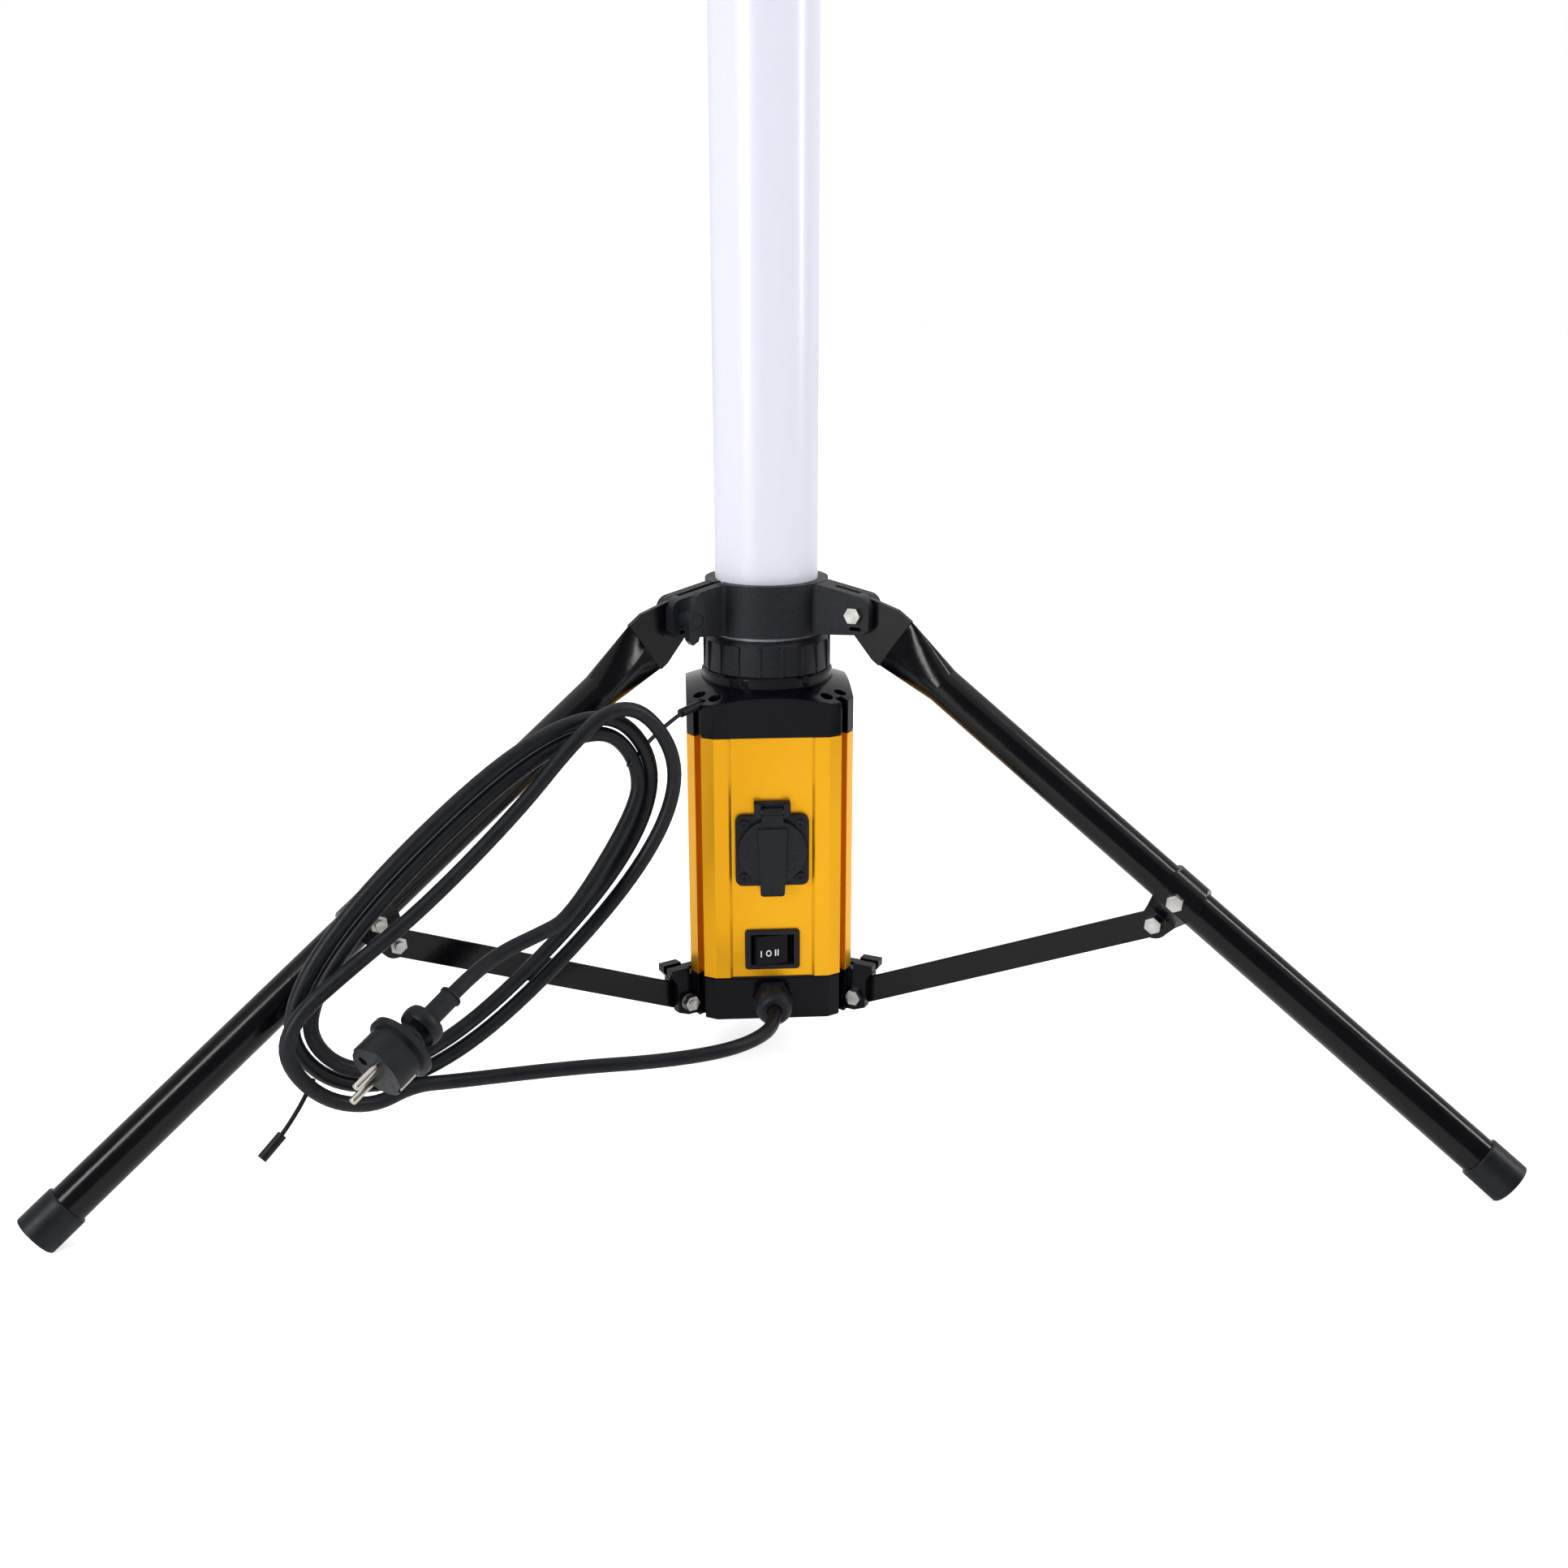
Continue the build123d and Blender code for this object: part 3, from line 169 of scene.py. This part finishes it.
def enamel():
    shader = Shader("black_enamel", (0.002, 0.002, 0.003), 0.16, Specular_IOR_Level=0.2)
    shader.tint(shader.noise(25), (0.001, 0.001, 0.002), (0.003, 0.003, 0.004))
    shader.bump(shader.noise(320, 2), 0.00005, 0.0005)
    return shader.rough(shader.noise(60), 0.13, 0.22).material


def anodised():
    shader = Shader("yellow_anodised", (0.80, 0.39, 0.014), 0.32, 0.75, Specular_IOR_Level=0.16)
    shader.tint(shader.noise(9, 2, shader.stretch(1, 1, 0.3)), (0.77, 0.36, 0.010), (0.83, 0.41, 0.016))
    shader.bump(shader.noise(1200, 2), 0.000004, 0.0004)
    return shader.rough(shader.noise(12, 2), 0.31, 0.37).material


def zinc():
    shader = Shader("zinc_steel", (0.42, 0.41, 0.39), 0.3, 1.0)
    shader.tint(shader.noise(160, 5), (0.30, 0.29, 0.28), (0.50, 0.49, 0.47))
    shader.bump(shader.noise(700, 3), 0.00005, 0.0003)
    return shader.rough(shader.noise(300), 0.22, 0.42).material


def rubber():
    shader = Shader("black_rubber", (0.006, 0.007, 0.009), 0.4, Specular_IOR_Level=0.18)
    shader.tint(shader.noise(120, 4), (0.004, 0.005, 0.007), (0.008, 0.009, 0.012))
    shader.bump(shader.noise(1100, 4), 0.00008, 0.0004)
    return shader.rough(shader.noise(300), 0.34, 0.48).material


def metal(name, colour, rough, grain=400):
    shader = Shader(name, colour, rough, 1.0)
    shader.tint(shader.noise(90, 4), tuple(0.8 * c for c in colour), colour)
    shader.bump(shader.noise(grain, 2), 0.00003, 0.0002)
    return shader.rough(shader.noise(200), rough * 0.8, rough * 1.25).material


def plastic(name, colour, rough):
    shader = Shader(name, colour, rough)
    shader.tint(shader.noise(50, 3), tuple(0.9 * c for c in colour), colour)
    shader.bump(shader.noise(800, 2), 0.00004, 0.0003)
    return shader.rough(shader.noise(200), rough * 0.85, rough * 1.15).material


FINISH = {
    "opal_polycarbonate": opal(), "black_plastic": nylon(), "gloss_black_plastic": gloss_moulding(),
    "black_enamel": enamel(), "yellow_anodised": anodised(), "zinc_steel": zinc(), "black_rubber": rubber(),
    "brass_contacts": metal("brass", (0.75, 0.52, 0.22), 0.3),
    "nickel_plate": metal("nickel", (0.52, 0.49, 0.45), 0.2),
    "bare_aluminium": metal("aluminium", (0.78, 0.79, 0.80), 0.35),
    "white_board": plastic("solder_mask", (0.82, 0.83, 0.82), 0.4),
    "led_phosphor": plastic("phosphor", (0.85, 0.66, 0.18), 0.5),
    "clear_grey_plastic": plastic("grey_moulding", (0.55, 0.56, 0.57), 0.4),
    "white_case": plastic("white_case", (0.75, 0.75, 0.73), 0.45),
    "wire_insulation": plastic("wire_insulation", (0.28, 0.12, 0.05), 0.4),
}
MARK_PAINT = plastic("white_marking", (0.85, 0.86, 0.87), 0.5)

for subpart in frame["record"]["subparts"]:
    node = frame["nodes"][subpart["node"]]
    for face_slot in node.material_slots:
        face_slot.material = FINISH[subpart["material_slot"]]


def new_object(name, data, body, finish):
    """A piece in the scene that rides on a body."""
    piece = bpy.data.objects.new(name, data)
    bpy.context.collection.objects.link(piece)
    data.materials.append(finish)
    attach(piece, body)
    return piece


# ---- power cord ----
CORD_R = 4.7
LEAD = [(0, -72.3, 58), (0, -97, 58), (-13, -120, 57.5), (-38, -137, 57), (-80, -146, 56),
        (-126, -152, 57), (-172, -166, 60), (-206, -181, 64), (-228, -192, 68)]
TAIL = [(-131.3, -146, 157), (-150, -160, 152), (-170, -172, 147),
        (-187.3, -187.3, 139.8), (-200, -203.2, 131.5)]
HANK_ANGLE = math.radians(-60)         # the left leg's direction
HANK_SIDE = 50.0                       # hank's middle in front of that leg
HANK_MIDDLE = (240.0, 180.0)           # outwards along the leg, and height
HANK_SLOPE = math.radians(-36.7)
# The places that a turn passes, a quarter apart: how far out it is there, towards the
# lower end, the outer side, the upper end and the inner side in turn, and how far it
# lies in front of the hank's middle. PINCH draws the first turn's outer side in.
QUARTERS = [(78, 4), (150, 6), (26, 8.3), (149, 8), (75, -2.5), (141, -8), (55, -5.5), (138, -4.5),
            (64, -5), (131, -4.5), (44, -5.5), (128, -5), (55, 3)]
QUARTER_STEPS = 4
ROUNDNESS = 2.45               # 2 would make the turns ellipses, more makes them squarer
TURNS_FROM, TURNS_TO = 0.66, 11.4      # in quarters
PINCHED, PINCH = (1, 3), 42
SPREAD = 1.02                  # a spline runs a little inside its control points


def hank_point(along, across, front):
    """A place in the hank: along its slope, across it and in front of its middle."""
    out = HANK_MIDDLE[0] + along * math.cos(HANK_SLOPE) - across * math.sin(HANK_SLOPE)
    up = HANK_MIDDLE[1] + along * math.sin(HANK_SLOPE) + across * math.cos(HANK_SLOPE)
    side = HANK_SIDE + front
    return (out * math.sin(HANK_ANGLE) + side * math.cos(HANK_ANGLE),
            -out * math.cos(HANK_ANGLE) + side * math.sin(HANK_ANGLE), up)


def rounded(value):
    """Sine or cosine eased so that a turn's ends are rounder than an ellipse's."""
    return math.copysign(abs(value) ** (2 / ROUNDNESS), value)


def hank_turns():
    """Control points of the hank, from quarter to quarter of its flattened turns."""
    points = []
    steps = round((TURNS_TO - TURNS_FROM) * QUARTER_STEPS)
    for step in range(steps + 1):
        place = TURNS_FROM + (TURNS_TO - TURNS_FROM) * step / steps
        last = int(place)
        ease = 0.5 - 0.5 * math.cos(math.pi * (place - last))
        (reach_a, front_a), (reach_b, front_b) = QUARTERS[last], QUARTERS[last + 1]
        long, wide = (reach_b, reach_a) if last % 2 == 0 else (reach_a, reach_b)
        angle = math.pi / 2 * place
        if PINCHED[0] <= place < PINCHED[1]:
            wide += PINCH * math.sin(angle) ** 2
        along = SPREAD * long * rounded(math.sin(angle))
        across = -SPREAD * wide * rounded(math.cos(angle))
        points.append(hank_point(along, across, front_a + (front_b - front_a) * ease))
    return points


def nurbs(name, points, radius, order=3, resolution=6, sides=6):
    """A round tube along one smooth spline with these control points."""
    data = bpy.data.curves.new(name, "CURVE")
    data.dimensions = "3D"
    data.bevel_depth = radius * MM
    data.bevel_resolution = sides
    data.resolution_u = resolution
    data.use_fill_caps = True
    spline = data.splines.new("NURBS")
    spline.points.add(len(points) - 1)
    for control, point in zip(spline.points, points):
        control.co = (*at(*point), 1)
    spline.order_u = order
    spline.use_endpoint_u = True
    return data


def spline_length(points):
    """Length in metres of the smooth spline through nurbs() for these points."""
    data = nurbs("measure", points, 0)
    probe = bpy.data.objects.new("measure", data)
    mesh = bpy.data.meshes.new_from_object(probe)
    places = [vertex.co for vertex in mesh.vertices]
    length = sum((places[a] - places[b]).length for a, b in (edge.vertices for edge in mesh.edges))
    bpy.data.objects.remove(probe)
    return length


cord_points = LEAD + hank_turns() + TAIL
cord = new_object("rubber_cord", nurbs("rubber_cord", cord_points, CORD_R), "lamp", FINISH["black_rubber"])
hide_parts("power_cord", "cord_hank", "cord_tail")
cord_length = spline_length(cord_points)

# ---- switch marks ----
ROCKER_PIVOT = (0, -50.5, 94.6)
ROCKER_TILT = math.radians(10)
ROCKER_FLAT = ((-15, -58.2), (9.5, -57.2))     # its two ends, untilted, across and out
MARKS_BELOW = 2.1              # marks' middle below the pivot


def rocker_face(x, up, proud=0.0):
    """A place on the rocker's flat, before the rocker is tilted about its pivot."""
    (left, left_y), (right, right_y) = ROCKER_FLAT
    y = left_y + (x - left) * (right_y - left_y) / (right - left) - proud - ROCKER_PIVOT[1]
    turned = Matrix.Rotation(ROCKER_TILT, 3, "Z") @ Vector((x, y, up - MARKS_BELOW))
    return at(*(turned + Vector(ROCKER_PIVOT)))


def raised_outline(mesh, outer, inner=()):
    """A flat mark 0.12 mm proud of the rocker, with a hole when inner is given."""
    rings = [[mesh.verts.new(rocker_face(x, up, proud)) for x, up in ring]
             for ring in (outer, inner) if ring for proud in (-0.05, 0.12)]
    count = len(outer)
    for a in range(count):
        b = (a + 1) % count
        mesh.faces.new((rings[0][a], rings[0][b], rings[1][b], rings[1][a]))
        if inner:
            mesh.faces.new((rings[1][a], rings[1][b], rings[3][b], rings[3][a]))
            mesh.faces.new((rings[3][a], rings[3][b], rings[2][b], rings[2][a]))
            mesh.faces.new((rings[2][a], rings[2][b], rings[0][b], rings[0][a]))
    if not inner:
        mesh.faces.new(rings[1])
        mesh.faces.new(rings[0][::-1])


def bar(centre, half_width=0.4, half_height=2.3):
    return [(centre + i * half_width, j * half_height) for i, j in ((-1, -1), (1, -1), (1, 1), (-1, 1))]


def oval(centre, half_width, half_height, count=32):
    steps = [2 * math.pi * k / count for k in range(count)]
    return [(centre + half_width * math.cos(a), half_height * math.sin(a)) for a in steps]


marks = bmesh.new()
raised_outline(marks, bar(-9.4))
raised_outline(marks, oval(-4.0, 2.0, 2.3), oval(-4.0, 1.3, 1.6))
raised_outline(marks, bar(0.8))
raised_outline(marks, bar(2.6))
bmesh.ops.recalc_face_normals(marks, faces=marks.faces)
marks_mesh = bpy.data.meshes.new("switch_marks")
marks.to_mesh(marks_mesh)
new_object("switch_marks", marks_mesh, "rocker", MARK_PAINT)

# ---- sloped borders of the housing's panels ----
PANEL_HALF = 29.3
FACE, RECESS = 56.3, 54.8      # the housing's side and the bottom of its recessed panel
BORDER_Z = (74.2, 245.8)
BORDER_WIDTH = 1.8
BELOW_FACE = 0.05

borders = bmesh.new()
for quarter_turn in range(4):
    facing = Matrix.Rotation(math.radians(90 * quarter_turn), 3, "Z")
    for side in (-1, 1):
        ends = []
        for z in BORDER_Z:
            section = ((PANEL_HALF, RECESS), (PANEL_HALF, FACE - BELOW_FACE),
                       (PANEL_HALF - BORDER_WIDTH, RECESS))
            ends.append([borders.verts.new(at(*(facing @ Vector((side * x, -y, z))))) for x, y in section])
        borders.faces.new(ends[0])
        borders.faces.new(ends[1])
        for a in range(3):
            b = (a + 1) % 3
            borders.faces.new((ends[0][a], ends[0][b], ends[1][b], ends[1][a]))
bmesh.ops.recalc_face_normals(borders, faces=borders.faces)
borders_mesh = bpy.data.meshes.new("panel_borders")
borders.to_mesh(borders_mesh)
new_object("panel_borders", borders_mesh, "lamp", FINISH["yellow_anodised"])

# ---- floor and light ----
floor_mesh = bpy.data.meshes.new("floor")
floor_mesh.from_pydata([(-9, -6, 0), (9, -6, 0), (9, 12, 0), (-9, 12, 0)], [], [(0, 1, 2, 3)])
floor = bpy.data.objects.new("floor", floor_mesh)
bpy.context.collection.objects.link(floor)
floor_shader = Shader("studio_floor", (0.93, 0.93, 0.93), 0.7, Emission_Color=(0.6, 0.6, 0.6, 1))
to_camera = floor_shader.nodes.new("ShaderNodeLightPath").outputs["Is Camera Ray"]
floor_shader.links.new(to_camera, floor_shader.bsdf.inputs["Emission Strength"])
floor_shader.rough(floor_shader.noise(3), 0.65, 0.75)
floor_mesh.materials.append(floor_shader.material)

world = bpy.data.worlds.new("studio")
world.use_nodes = True
sky = world.node_tree
direction = sky.nodes.new("ShaderNodeSeparateXYZ")
sky.links.new(sky.nodes.new("ShaderNodeTexCoord").outputs["Generated"], direction.inputs["Vector"])
glow = sky.nodes.new("ShaderNodeMapRange")     # brighter behind the lamp than in front of it
for key, value in (("From Min", -0.3), ("From Max", 0.6), ("To Min", 0.2), ("To Max", 0.8)):
    glow.inputs[key].default_value = value
sky.links.new(direction.outputs["Y"], glow.inputs["Value"])
seen = sky.nodes.new("ShaderNodeMath")         # the backdrop itself is plain white
seen.operation = "MAXIMUM"
sky.links.new(glow.outputs["Result"], seen.inputs[0])
sky.links.new(sky.nodes.new("ShaderNodeLightPath").outputs["Is Camera Ray"], seen.inputs[1])
sky.nodes["Background"].inputs["Color"].default_value = (1, 1, 1, 1)
sky.links.new(seen.outputs["Value"], sky.nodes["Background"].inputs["Strength"])
bpy.context.scene.world = world


def softbox(name, place, target, size, power):
    data = bpy.data.lights.new(name, "AREA")
    data.shape = "RECTANGLE"
    data.size, data.size_y = size
    data.energy = power
    lamp = bpy.data.objects.new(name, data)
    bpy.context.collection.objects.link(lamp)
    lamp.location = at(*place)
    lamp.rotation_euler = (at(*target) - at(*place)).to_track_quat("-Z", "Y").to_euler()


softbox("left_softbox", (-1450, -1500, 1100), (0, 0, 250), (0.5, 1.7), 38)
softbox("right_softbox", (1800, -300, 1200), (0, 0, 250), (0.3, 1.8), 24)
softbox("top_softbox", (0, 800, 5000), (0, 800, 0), (9, 9), 210)
